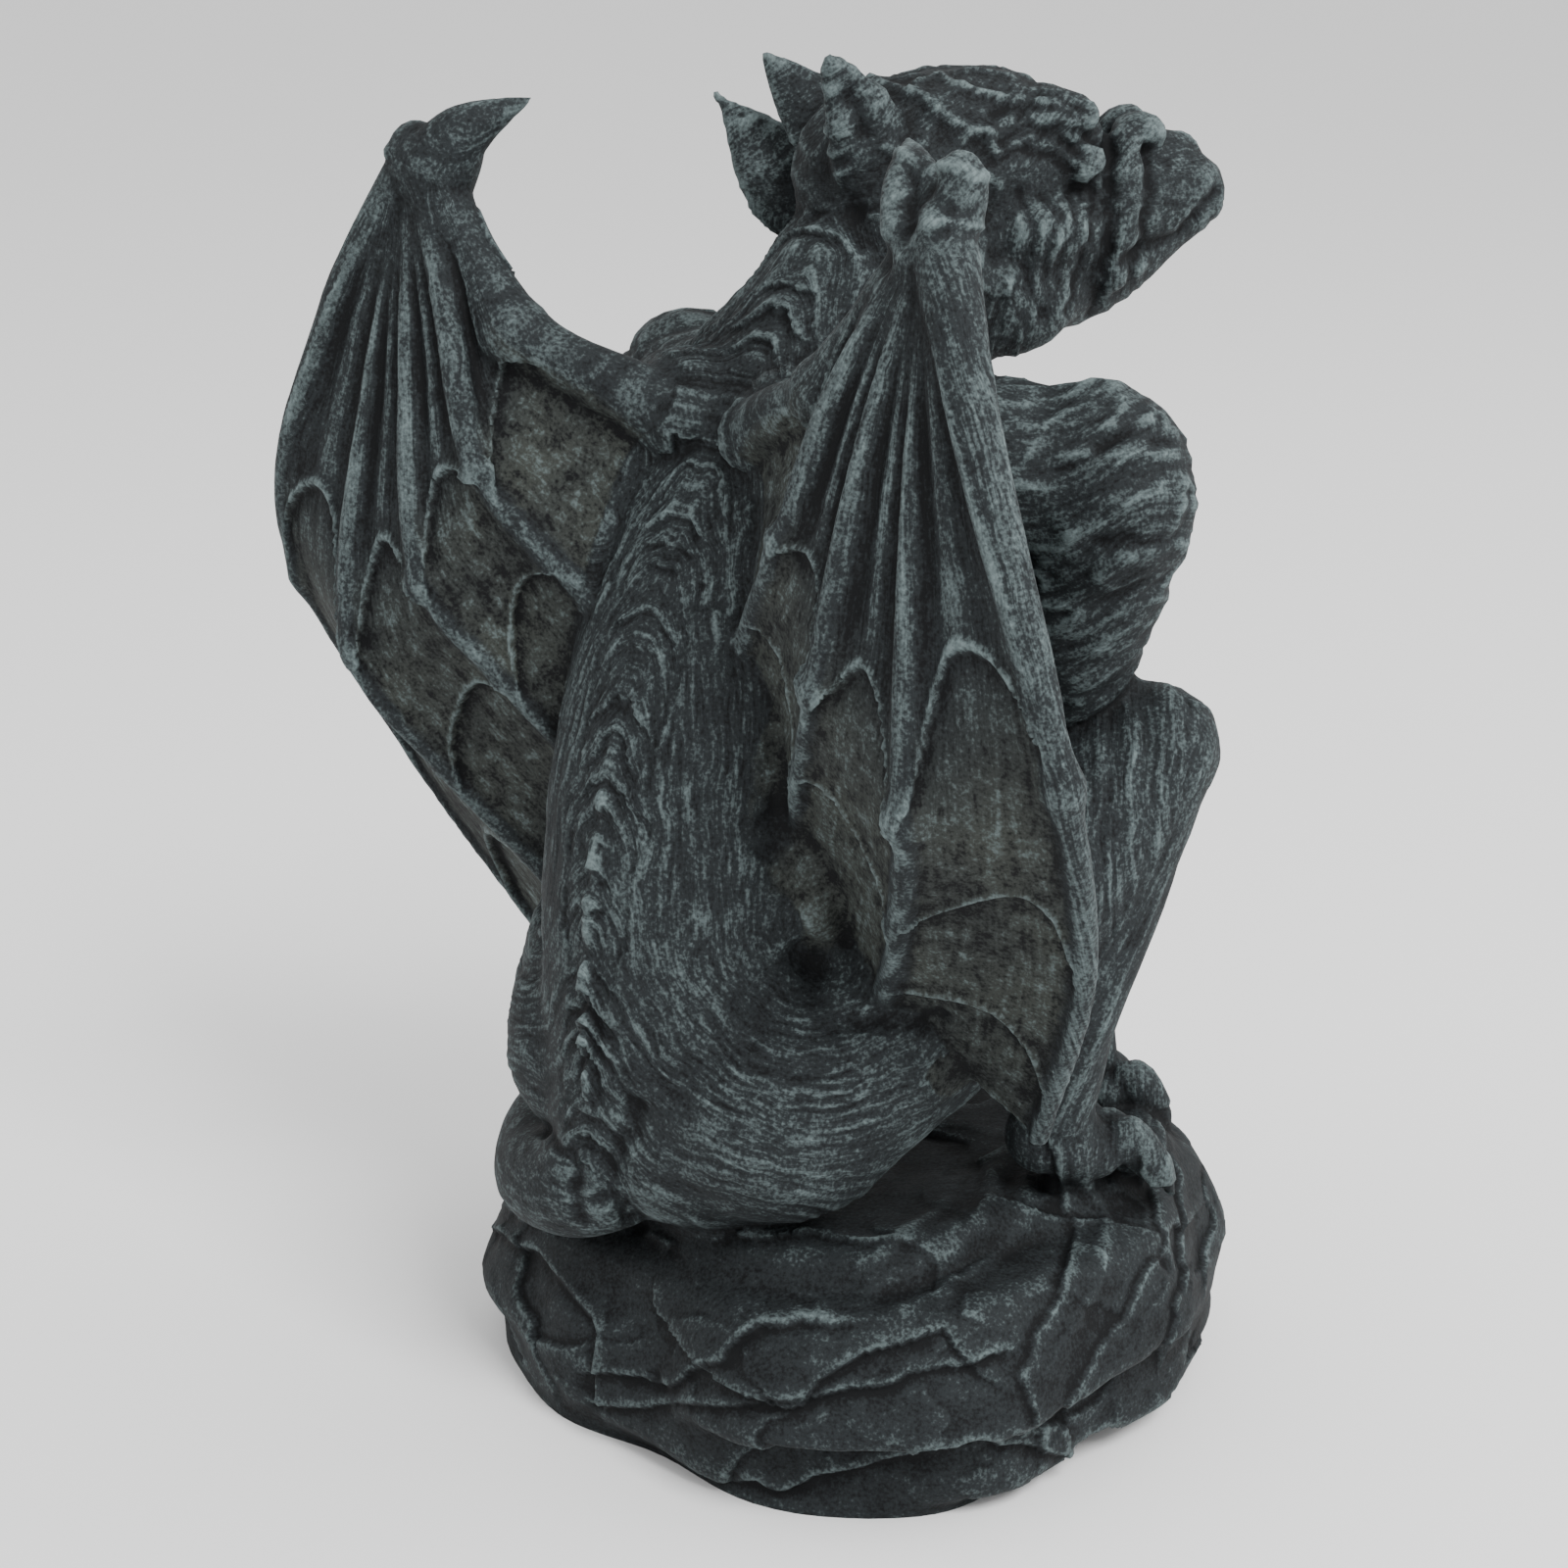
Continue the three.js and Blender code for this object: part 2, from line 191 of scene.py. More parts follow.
# One closed skin over everything in the object
def fuse(obj, voxel):
    mod = obj.modifiers.new("fuse", "REMESH")
    mod.mode = "VOXEL"
    mod.voxel_size = voxel
    graph = bpy.context.evaluated_depsgraph_get()
    mesh = bpy.data.meshes.new_from_object(obj.evaluated_get(graph))
    old = obj.data
    obj.modifiers.clear()
    obj.data = mesh
    bpy.data.meshes.remove(old)


def readPoints(mesh):
    co = np.empty(len(mesh.vertices) * 3)
    mesh.vertices.foreach_get("co", co)
    return co.reshape(-1, 3)


def readEdges(mesh):
    e = np.empty(len(mesh.edges) * 2, np.int64)
    mesh.edges.foreach_get("vertices", e)
    return e.reshape(-1, 2)


# Moves each row of values towards the mean of its neighbours
def relax(values, edges, rounds, strength=0.5):
    n = len(values)
    count = np.maximum(np.bincount(edges.ravel(), minlength=n), 1)
    out = values.astype(float).copy()
    flat = out.ndim == 1
    if flat:
        out = out[:, None]
    for _ in range(rounds):
        for k in range(out.shape[1]):
            near = np.bincount(edges[:, 0], out[edges[:, 1], k], n)
            near = near + np.bincount(edges[:, 1], out[edges[:, 0], k], n)
            out[:, k] += strength * (near / count - out[:, k])
    return out[:, 0] if flat else out


def normalsOf(mesh):
    n = np.empty(len(mesh.vertices) * 3)
    mesh.vertex_normals.foreach_get("vector", n)
    return n.reshape(-1, 3)


# The figure's landmarks, as in the CAD part; z here is from the table
pose = {
    "trunk": [(0, 42, 64, 27, 22), (0, 41, 99, 28, 22), (0, 32, 129, 32, 25), (0, 16, 159, 37, 27),
              (0, 4, 182, 34, 24), (-1, -3, 200, 21, 19)],
    "belly": [(0, 22, 78, 21, 17), (0, 10, 114, 24, 18), (0, -4, 148, 29, 15), (0, -8, 172, 31, 13)],
    "flank": [(33, 20, 166, 10), (31, 30, 140, 9.5), (26, 38, 108, 9)],
    "haunch": [(18, 37, 70, 24, 23), (38, 8, 98, 21, 19), (52, -22, 127, 12, 11.5)],
    "shin": [(52, -22, 126, 11), (51, -11, 101, 10.5), (50, -3, 82, 9), (48, -2, 64, 7.5)],
    "foot": [(48, -1, 58, 8.5, 7), (48, -9, 55, 9.5, 6.5)],
    "upperArm": [(49, -10, 168, 14.5), (41, -12, 148, 12.5), (34, -17, 131, 9.5)],
    "forearm": [(34, -18, 130, 9.5), (29, -30, 102, 9.5), (24, -38, 72, 6.5)],
    "hand": [(24, -38, 68, 7, 6), (23, -41, 52, 8.5, 5.5)],
    "tail": [(0, 50, 62, 15), (10, 56, 50, 10.5), (29, 51, 44, 8.5), (48, 31, 44, 7), (54, 4, 45, 5.5),
             (51, -22, 45, 4.2), (40, -40, 46, 2.6)],
    "spine": [(-1, 10, 210), (0, 28, 185), (0, 44, 159), (0, 57, 130), (0, 64, 99), (0, 65, 70)],
}
wingRays = [
    [(61, 45, 224), (50, 44, 210), (37, 43, 196), (22, 38, 190), (9, 33, 182)],
    [(61, 45, 224), (48, 50, 200), (38, 53, 175), (28, 49, 162), (18, 43, 151)],
    [(61, 45, 224), (55, 52, 192), (49, 57, 155), (39, 50, 138), (27, 41, 122)],
    [(61, 45, 224), (65, 53, 184), (68, 58, 139), (57, 47, 115), (41, 33, 92)],
    [(61, 45, 224), (76, 53, 196), (91.5, 54, 156), (84, 34.5, 111), (61, 17, 69)],
]
jointPlace = 0.52  # share of a finger at which its joint swells

headCentre = np.array([-4.0, -17.0, 216.0])
headTurn = math.radians(30)
headForward = np.array([-math.sin(headTurn), -math.cos(headTurn), 0])
headRight = np.cross(headForward, [0, 0, 1])


def inHead(f, r, u):
    return headCentre + headForward * f + headRight * r + np.array([0, 0, u])


def headStation(f, r, u, *size):
    return [*inHead(f, r, u), *size]


# Rock slabs, as in the CAD part
slabs = [
    {"low": -0.1, "high": 0.36, "swell": 0.99, "taper": 0.97, "shift": (1, 1), "turn": 0.4, "tilt": (0, 0)},
    {"low": 0.16, "high": 0.6, "swell": 1.05, "taper": 0.98, "shift": (-1, -1), "turn": 1.7,
     "tilt": (0.05, -0.04)},
    {"low": 0.34, "high": 0.84, "swell": 1.15, "taper": 0.88, "shift": (-3, -3), "turn": 2.9,
     "tilt": (-0.07, -0.03)},
    {"low": 0.6, "high": 1.02, "swell": 0.95, "taper": 0.88, "shift": (-3, -4), "turn": 4.4,
     "tilt": (-0.05, -0.03)},
]
rockSize = {"width": 118.0, "depth": 116.0, "height": 44.0, "squareness": 3.0}


def addSlab(bm, s):
    count = 90
    angles = np.arange(count) / count * 2 * math.pi + math.pi / 2
    e = rockSize["squareness"]
    square = (np.abs(np.cos(angles)) ** e + np.abs(np.sin(angles)) ** e) ** (-1 / e)
    t = s["turn"]
    chips = (0.03 * np.sin(2 * angles + t) + 0.03 * np.sin(3 * angles + 2.1 * t)
             + 0.024 * np.sin(5 * angles + 3.7 * t) + 0.018 * np.sin(9 * angles + 5.3 * t))
    reach = s["swell"] * square * (1 + chips)
    rings = []
    for h in (0.0, 0.1, 0.5, 0.9, 1.0):
        grow = 0.985 * (1 - h * (1 - s["taper"])) - 0.03 * abs(2 * h - 1) ** 6
        x = np.cos(angles) * reach * grow * rockSize["width"] / 2 + s["shift"][0]
        y = np.sin(angles) * reach * grow * rockSize["depth"] / 2 + s["shift"][1]
        z = (s["low"] + h * (s["high"] - s["low"])) * rockSize["height"] + s["tilt"][0] * x + s["tilt"][1] * y
        rings.append(np.stack([x, y, z], axis=1))
    addRings(bm, rings, (rings[0].mean(0), rings[-1].mean(0)))


# Masses that melt into each other
print("masses")
bm = bmesh.new()
for s in slabs:
    addSlab(bm, s)
addLimb(bm, pose["trunk"], sides=32)
addLimb(bm, pose["belly"])
for side in (-1, 1):
    addLimb(bm, [sided(s, side) for s in pose["flank"]])
    addLimb(bm, [sided(s, side) for s in pose["haunch"]], sides=28)
    addLimb(bm, [sided(s, side) for s in pose["shin"]])
    addLimb(bm, [sided(s, side) for s in pose["foot"]])
    addLimb(bm, [sided(s, side) for s in pose["upperArm"]])
    addLimb(bm, [sided(s, side) for s in pose["forearm"]])
    addLimb(bm, [sided(s, side) for s in pose["hand"]])
    addLump(bm, sided((30, 0, 177), side), (24, 17, 15))
    addLump(bm, sided((13, 27, 183), side), (12, 9, 12))
    addLump(bm, sided((49, -8, 174), side), (17, 15, 19))
    addLump(bm, sided((14, -13, 164), side), (16, 9, 12))
addLimb(bm, [(0, 2, 192, 21, 19), (-3, -8, 207, 18, 17), [*inHead(-6, 0, 0), 15, 15]], sides=24)
headMasses = [  # skull, muzzle, jaw
    [(-10, 0, 5, 15.5, 17), (8, 0, 8, 15, 16), (19, 0, 7, 12, 12)],
    [(14, 0, -5, 13.5, 13), (30, 0, -2, 12, 12.5), (45.5, 0, 1, 8.4, 8)],
    [(10, 0, -15, 12, 10), (28, 0, -13.5, 9, 7), (44, 0, -5, 5.5, 4)],
]
for stations in headMasses:
    addLimb(bm, [headStation(*s) for s in stations], across=headRight)
for side in (-1, 1):
    addLump(bm, inHead(16, 8 * side, 16), (11, 6.5, 5), headForward + headRight * side * 0.35)
    addLump(bm, inHead(-2, 7 * side, 17), (9, 6, 5), headForward)
    addLump(bm, inHead(15, 11 * side, -3), (11, 6.5, 6.5), headForward)
    addLump(bm, inHead(10, 10 * side, -15), (13, 6, 10.5), headForward)
addLump(bm, inHead(41, 0, 8), (7.5, 5.5, 4.5), headForward)
gargoyle = asObject(bm, "gargoyle")
fuse(gargoyle, 1.3)
soft = relax(readPoints(gargoyle.data), readEdges(gargoyle.data), 9)
gargoyle.data.vertices.foreach_set("co", soft.ravel())

# Parts that stay crisp
print("crisp parts")
bm = bmesh.new()
bm.from_mesh(gargoyle.data)
addLimb(bm, pose["tail"], sides=16, rows=40, across=(0, 0, 1))
addLump(bm, (34, -46, 46), (9, 5, 2.6), (-1, -1.1, 0))

spineLine = curve(pose["spine"], 200)
for i in range(15):
    t = (i + 0.6) / 15
    p = spineLine[int(t * 199)]
    way = spineLine[min(int(t * 199) + 3, 199)] - spineLine[int(t * 199) - 3]
    size = 2.0 + 1.2 * math.sin(t * math.pi)
    addLump(bm, p + np.array([0, -0.6, 0]), (size * 1.7, size * 0.6, size * 0.6), way)

toes = {
    "root": (48, -9, 54), "spreads": (-0.5, -0.16, 0.18, 0.46), "fan": 12, "length": 11, "thick": 4.1,
    "rise": 2.5, "drop": 4.5, "claw": 3.5, "clawDrop": 5,
}
fingers = {
    "root": (23, -39, 50), "spreads": (-0.55, -0.15, 0.25, 0.62), "fan": 13, "length": 10, "thick": 3.9,
    "rise": 2, "drop": 5, "claw": 2.2, "clawDrop": 3.5,
}


def addDigits(bm, side, digits):
    rootX, rootY, rootZ = digits["root"]
    for spread in digits["spreads"]:
        way = np.array([side * math.sin(spread), -math.cos(spread), 0])
        root = np.array([side * (rootX + spread * digits["fan"]), rootY, rootZ])
        knuckle = root + way * digits["length"] * 0.5 + [0, 0, digits["rise"]]
        tip = root + way * digits["length"] + [0, 0, -digits["drop"]]
        nail = tip + way * digits["claw"] * 0.6 + [0, 0, -digits["clawDrop"] * 0.3]
        point = tip + way * digits["claw"] + [0, 0, -digits["clawDrop"]]
        k = digits["thick"]
        middle = root * 0.5 + knuckle * 0.5
        stations = [[*root, k], [*middle, k * 0.86], [*knuckle, k * 1.08], [*tip, k * 0.82]]
        addLimb(bm, stations, sides=12, rows=12)
        addLimb(bm, [[*(tip - way), k * 0.66], [*nail, k * 0.5], [*point, 1.0]], sides=10, rows=8)


for side in (-1, 1):
    addDigits(bm, side, toes)
    addDigits(bm, side, fingers)
    addLump(bm, inHead(23, 10.8 * side, 7), (3.9, 3.9, 3.9))
    addLump(bm, inHead(35.5, 3.4 * side, 12.2), (4.8, 4.4, 3.7), headForward)
    strap = [(32, 6 * side, 11, 2.8), (30.5, 9.6 * side, -1, 3.5), (29, 8.6 * side, -12, 3.2)]
    addLimb(bm, [headStation(*s) for s in strap], sides=12, rows=14)
    fang = [(34.5, 7.4 * side, -11, 1.8), (35.2, 8.4 * side, -8, 1.3), (35, 8.8 * side, -4, 0.4)]
    addLimb(bm, [headStation(*s) for s in fang], sides=8, rows=6)
ears = [  # rows of skin, then stations: two upright, two lower
    (14, [(-12, -9, 9, 5.5, 9), (-20, -12, 17, 4, 6.4), (-27, -14, 25, 1.1)]),
    (14, [(-14, 10, 9, 4.5, 8.5), (-19, 13, 19, 3.4, 5.5), (-23.5, 14, 26.5, 1.4)]),
    (16, [(-11, -13, -4, 4, 7), (-21, -17, 2, 3, 9), (-28, -21, 11, 2, 5), (-33.5, -24, 17.5, 0.6)]),
    (14, [(-8, 13, -6, 4, 6), (-17, 14, -9, 3.4, 8), (-25, 14, -8, 0.8)]),
]
for rows, stations in ears:
    addLimb(bm, [headStation(*s) for s in stations], sides=14, rows=rows, across=headRight)

# Wings
wing = {
    "skin": 4.0,  # thickness at the arm
    "columnsPerSpan": 12,
    "rows": 70,
    "arm": [(60, 45, 223, 6.5), (54, 45, 215, 5.2), (48, 45, 208, 4.6), (41, 44.5, 200, 5.4),
            (37, 44, 196, 6.4), (32, 42, 193.5, 5), (23, 39, 190, 5.2), (9, 31, 183, 7)],
    "claw": [(57, 44, 223, 7.2), (53, 42, 228.5, 5.2), (48.5, 38, 232, 2.8), (44, 34, 234.5, 0.5)],
}


# Points of the wing's skin at columns x rows places; u counts spans from the arm, v runs from wrist to edge
def wingGrid(side, columns, rows):
    rays = [curve([sided(p, side) for p in ray], 120) for ray in wingRays]
    u = np.linspace(0, 4, columns)
    v = np.linspace(0, 1, rows)
    along = 0.05 + v * 0.95
    place = along * 119
    i = np.minimum(place.astype(int), 118)
    f = (place - i)[:, None]
    lines = [ray[i] * (1 - f) + ray[i + 1] * f for ray in rays]
    grid = np.empty((columns, rows, 3))
    for c, uu in enumerate(u):
        k = min(int(uu), 3)
        t = uu - k
        slack = math.sin(t * math.pi)
        grid[c] = lines[k] * (1 - t) + lines[k + 1] * t
        grid[c, :, 1] -= 2.6 * v * slack
        grid[c, :, 2] -= 2 * v**6 * slack
    return u, v, grid


def gridNormals(grid):
    du = np.gradient(grid, axis=0)
    dv = np.gradient(grid, axis=1)
    n = np.cross(du, dv)
    return du, dv, n / np.maximum(np.linalg.norm(n, axis=2)[:, :, None], 1e-9)


for side in (-1, 1):
    u, v, grid = wingGrid(side, 4 * wing["columnsPerSpan"] + 1, wing["rows"])
    du, dv, n = gridNormals(grid)
    for _ in range(4):  # keeps the offset skins from crossing at the fold
        n[1:-1] = n[:-2] + n[1:-1] + n[2:]
        n[:, 1:-1] = n[:, :-2] + n[:, 1:-1] + n[:, 2:]
        n /= np.maximum(np.linalg.norm(n, axis=2)[:, :, None], 1e-9)
    down = v[None, :, None]
    thick = wing["skin"] / 2 * (1 - 0.25 * down**2) + 1.3 * np.exp(-((down / 0.18) ** 2))
    front, back = grid - n * thick, grid + n * thick
    rings = []
    for c in range(len(u)):
        rings.append(np.vstack([front[c], back[c][::-1]]))
    addRings(bm, rings, (grid[0].mean(0), grid[-1].mean(0)))
    for k in (1, 2, 3):
        line = curve([sided(p, side) for p in wingRays[k]], 60)
        t = np.linspace(0, 1, 60)
        r = 3.5 - 0.9 * t + 1.3 * np.exp(-(((t - jointPlace) / 0.02) ** 2))
        r = r + 0.7 * np.exp(-(((t - 0.97) / 0.03) ** 2))
        addLimb(bm, [[*p, a] for p, a in zip(line[3:], r[3:])], sides=12, rows=110)
    lead = curve([sided(p, side) for p in wingRays[4]], 60)
    t = np.linspace(0, 1, 60)
    r = 2.1 + 3.3 * (1 - t) ** 2.2 + 1.5 * np.exp(-(((t - 0.56) / 0.02) ** 2))
    addLimb(bm, [[*p, a] for p, a in zip(lead[2:], r[2:])], sides=14, rows=110)
    addLimb(bm, [sided(s, side) for s in wing["arm"]], sides=16, rows=50)
    if side < 0:
        addLump(bm, (-63.5, 43.5, 229), (4.2, 4.2, 6.4))
    else:
        addLump(bm, (62, 45, 225), (5, 5, 5.5))
    addLimb(bm, [sided(s, side) for s in wing["claw"]], sides=16, rows=20)

full = asObject(bm, "full")
bpy.data.objects.remove(gargoyle)
gargoyle = full
gargoyle.name = "gargoyle"
voxelSize = 0.75
fuse(gargoyle, voxelSize)
mesh = gargoyle.data
edges = readEdges(mesh)
co = relax(readPoints(mesh), edges, 3, 0.4)
mesh.vertices.foreach_set("co", co.ravel())
mesh.update()
normals = normalsOf(mesh)
print("skin", len(co), "points")


# Distance from each point to a limb's surface, judged along its middle line
def gapTo(points, stations):
    full = [list(s) + [s[3]] if len(s) == 4 else list(s) for s in stations]
    line = curve(full, 14)
    best = np.full(len(points), 1e9)
    for a, b in zip(line, line[1:]):
        d = b[:3] - a[:3]
        t = np.clip((points - a[:3]) @ d / (d @ d), 0, 1)
        r = (a[3] + a[4]) / 2 + t * ((b[3] + b[4]) - (a[3] + a[4])) / 2
        best = np.minimum(best, np.linalg.norm(points - a[:3] - t[:, None] * d, axis=1) - r)
    return best


# Which part of the figure each point belongs to, by the nearest guide line
print("regions")
rightSide = co.copy()
rightSide[:, 0] = -np.abs(rightSide[:, 0])  # every limb is judged on the figure's right side
gaps = {"trunk": gapTo(rightSide, pose["trunk"])}
for name in ("haunch", "shin", "foot", "upperArm", "forearm", "hand"):
    gaps[name] = gapTo(rightSide, [sided(s, -1) for s in pose[name]])
gaps["shoulder"] = gapTo(rightSide, [(-49, -8, 168, 15), (-49, -8, 180, 15)])
gaps["tail"] = gapTo(co, pose["tail"])
skull = [headStation(-10, 0, 4, 16), headStation(12, 0, 3, 15), headStation(40, 0, 0, 9)]
jaw = [headStation(5, 0, -15, 12), headStation(40, 0, -6, 7)]
gaps["head"] = np.minimum(gapTo(co, skull), gapTo(co, jaw))
gaps["neck"] = gapTo(co, [(0, 2, 192, 20), (-3, -8, 207, 17)])
# Rock: everything low down that no limb claims
nearest = np.min(np.stack(list(gaps.values())), axis=0)
rockMask = (co[:, 2] < 47.5) & (nearest > 0.9)

wingU = np.zeros(len(co))
wingV = np.zeros(len(co))
wingOff = np.full(len(co), 1e9)
skinSide = np.zeros(len(co))  # below 0 in front of the skin's middle
for side in (-1, 1):
    u, v, grid = wingGrid(side, 121, 101)
    du, dv, n = gridNormals(grid)
    flat = grid.reshape(-1, 3)
    tree = KDTree(len(flat))
    for i, p in enumerate(flat):
        tree.insert(p, i)
    tree.balance()
    rough = (co[:, 0] * side > 4) & (co[:, 1] > 8) & (co[:, 2] > 60)
    for i in np.nonzero(rough)[0]:
        _, j, d = tree.find(co[i])
        if d < 10 and d < wingOff[i]:
            a, b = divmod(j, 101)
            off = co[i] - flat[j]
            wingOff[i] = d
            skinSide[i] = side * np.dot(off, n[a, b])
            wingU[i] = u[a] + np.dot(off, du[a, b]) / max(np.dot(du[a, b], du[a, b]), 0.05) * (u[1] - u[0])
            wingV[i] = v[b] + np.dot(off, dv[a, b]) / max(np.dot(dv[a, b], dv[a, b]), 0.05) * (v[1] - v[0])
bodyGap = np.minimum.reduce([gaps[k] for k in ("trunk", "haunch", "shoulder", "upperArm", "head", "neck")])
wingMask = (wingOff < 9) & (bodyGap > 0.6)
known = (wingOff < 10).astype(float)
weight = np.maximum(relax(known, edges, 5), 1e-6)
wingU = relax(wingU * known, edges, 5) / weight
boneSide = wingU.copy()  # runs on round the arm bone
wingU = np.clip(wingU, 0, 4)
wingV = np.clip(relax(wingV * known, edges, 5) / weight, 0, 1)

# Strand coordinates: along changes slowly down a strand, across changes fast over strands
print("strands")
pixels = pixelOf(rightSide)
spinePixels = pixelOf(curve(pose["spine"], 60))
order = np.argsort(spinePixels[:, 1])
spineX = np.interp(pixels[:, 1], spinePixels[order, 1], spinePixels[order, 0])
out = np.maximum(pixels[:, 0] - spineX, 0)
wobble = 60 * (noise(pixels[:, 0] / 45, pixels[:, 1] / 45, 3) - 0.5)
wobble = wobble + 26 * (noise(pixels[:, 0] / 17, pixels[:, 1] / 21, 4) - 0.5)
across = pixels[:, 1] - (1.3 * out + 0.011 * out**2) + 0.45 * wobble
along = pixels[:, 1] * 0.35 + out
# Kinds: 0 back, 1 haunch, 2 shin, 3 shoulder and upper arm, 4 forearm, hand and foot, 5 tail, 6 head,
# 7 neck, 8 rock, 9 wing, 10 wrist and claw of a wing
kind = np.zeros(len(co))
pitch = np.full(len(co), 13.0)
length = np.full(len(co), 62.0)

# Below the wings the strands hang straight, then sweep round the haunch like a bowl
bowl = {"x": 835.0, "y": 950.0}
drop = np.maximum(pixels[:, 1] - bowl["y"], 0)
radius = np.hypot(pixels[:, 0] - bowl["x"], drop) + 0.2 * wobble
angle = np.arctan2(drop, pixels[:, 0] - bowl["x"])
legHaunch = (gaps["haunch"] < gaps["trunk"] + 1.0) & (gaps["haunch"] < gaps["shin"])
inBowl = (pixels[:, 1] > 640 + wobble) & (out > 42 + 0.4 * wobble) | legHaunch
across = np.where(inBowl, radius, across)
along = np.where(inBowl, np.where(drop > 0, angle * 230, (bowl["y"] - pixels[:, 1]) + math.pi * 230), along)
pitch = np.where(inBowl, 12.0, pitch)
length = np.where(inBowl, 115.0, length)
kind = np.where(inBowl, 1, kind)


def useRegion(mask, number, acrossValue, alongValue, pitchValue, lengthValue):
    global across, along, pitch, length, kind
    across = np.where(mask, acrossValue, across)
    along = np.where(mask, alongValue, along)
    pitch = np.where(mask, pitchValue, pitch)
    length = np.where(mask, lengthValue, length)
    kind = np.where(mask, number, kind)


closest = np.argmin(np.stack(list(gaps.values())), axis=0)
keys = list(gaps)
isRegion = lambda *want: np.isin(closest, [keys.index(k) for k in want])
useRegion(isRegion("shin"), 2, pixels[:, 0] + 0.45 * pixels[:, 1], pixels[:, 1], 16, 150)
overArm = pixels[:, 1] + 0.25 * pixels[:, 0] + 12 * np.sin(pixels[:, 0] / 30)
useRegion(isRegion("shoulder", "upperArm"), 3, overArm, pixels[:, 0], 18, 90)
useRegion(isRegion("forearm", "hand", "foot"), 4, pixels[:, 0], pixels[:, 1], 14, 110)
kneeFront = legHaunch & (normals[:, 1] < -0.15) & (kind == 1)
useRegion(kneeFront, 1, rightSide[:, 0] * 5.6 + 0.3 * wobble, co[:, 2] * 5.6, 14, 110)
useRegion(isRegion("tail"), 5, co[:, 2] * 5.6, co[:, 0] * 5.6, 16, 90)
headPixels = pixelOf(co)
hang = smoothStep(175, 215, headPixels[:, 1])  # cheek strands hang, skull strands run back
overHead = (1 - hang) * (headPixels @ [0.5, 0.8]) + hang * (headPixels @ [0.95, 0.12]) + 0.3 * wobble
alongHead = (1 - hang) * headPixels[:, 0] + hang * headPixels[:, 1]
useRegion(isRegion("head"), 6, overHead, alongHead, 21, 75)
overNeck = pixels[:, 0] * 0.85 + pixels[:, 1] * 0.5 + 0.8 * wobble
useRegion(isRegion("neck"), 7, overNeck, pixels[:, 1], 24, 120)
useRegion(rockMask, 8, co[:, 2] * 5.6 + 0.6 * co[:, 0], (co[:, 0] - co[:, 1]) * 5.6, 30, 70)
useRegion(wingMask, 9, wingU * 110 + 9 * noise(wingU * 9, wingV * 14, 8), wingV * 520, 13, 130)
useRegion(wingMask & (boneSide > 3.94), 9, pixels @ [1.0, -0.27] + 0.1 * wobble, pixels[:, 1], 11, 170)
wristClaws = (np.abs(co[:, 0]) > 36) & (co[:, 2] > 222)
useRegion(wristClaws, 10, pixels @ [0.6, 0.5], pixels @ [0.5, -0.6], 16, 90)

print("relief")
relief = {  # mm
    "muscle": 0.75,
    "knots": 1.1,
    "wingFold": 0.6,
    "wingRim": 0.75,
    "wingSunk": 1.2,
    "rockFace": 1.7,
    "rockChip": 0.35,
    "ledgeEdge": 0.14,
}
lift = np.zeros(len(co))
# The chest isn't mirrored
along = along + length * 2.5 * smoothStep(-9, 9, co[:, 0]) * smoothStep(25, 5, co[:, 1])
over, down = across / pitch, along / length
crests = comb(over, down + kind * 7, 11)
hairs = 0.65 * ridged(over, down + kind * 7, 11) + 0.35 * ridged(across / pitch * 2.1, down * 1.8, 12)
strandLine = 0.4 * crests + 0.6 * hairs
regionKinds = [kind == 8, kind >= 9, kind == 6, kind == 4, kind == 3, kind == 5]
regionDepths = [0.05, 0.38, 0.35 + 0.55 * hang, 0.4, 0.6, 0.45]
depthOf = np.select(regionKinds, regionDepths, 0.85)
depthOf = depthOf * np.where(inBowl & (kind < 2), smoothStep(15, 90, radius), 1)
strength = 0.4 + 0.9 * noise(pixels[:, 0] / 34, pixels[:, 1] / 34, 14)
depthOf = depthOf * np.where(kind == 9, smoothStep(0.6, 4, bodyGap), 1)
lift += depthOf * strength * (strandLine - 0.5)
muscle = ridged(across / pitch / 3.1, along / length / 1.6 + 3, 13) - 0.5
lift += np.where((kind == 8) | (kind >= 9) | (kind == 6) | (kind == 5), 0, relief["muscle"]) * muscle

# Knotted skin on the skull, the shoulders and the arms
knots = ridged(co[:, 0] / 5 + 9, co[:, 1] / 5 + co[:, 2] / 4, 21)
knots = knots * ridged(co[:, 2] / 5, co[:, 0] / 4 - co[:, 1] / 5 + 40, 22)
knotDepths = [relief["knots"] - 1.0 * hang, relief["knots"], 0.7]
lift += np.select([kind == 6, kind == 3, kind == 7], knotDepths, 0) * (knots - 0.3)

# Chevrons beside the spine
backness = np.exp(-((out / 40) ** 2)) * (kind == 0)
beat = (pixels[:, 1] - 1.15 * out + 0.8 * wobble) / 40
chevron = (beat - np.floor(beat)) ** 2
patchy = smoothStep(0.3, 0.7, noise(pixels[:, 0] / 30, pixels[:, 1] / 38, 9))
lift += (0.5 + 0.9 * patchy) * backness * (chevron - 0.4)

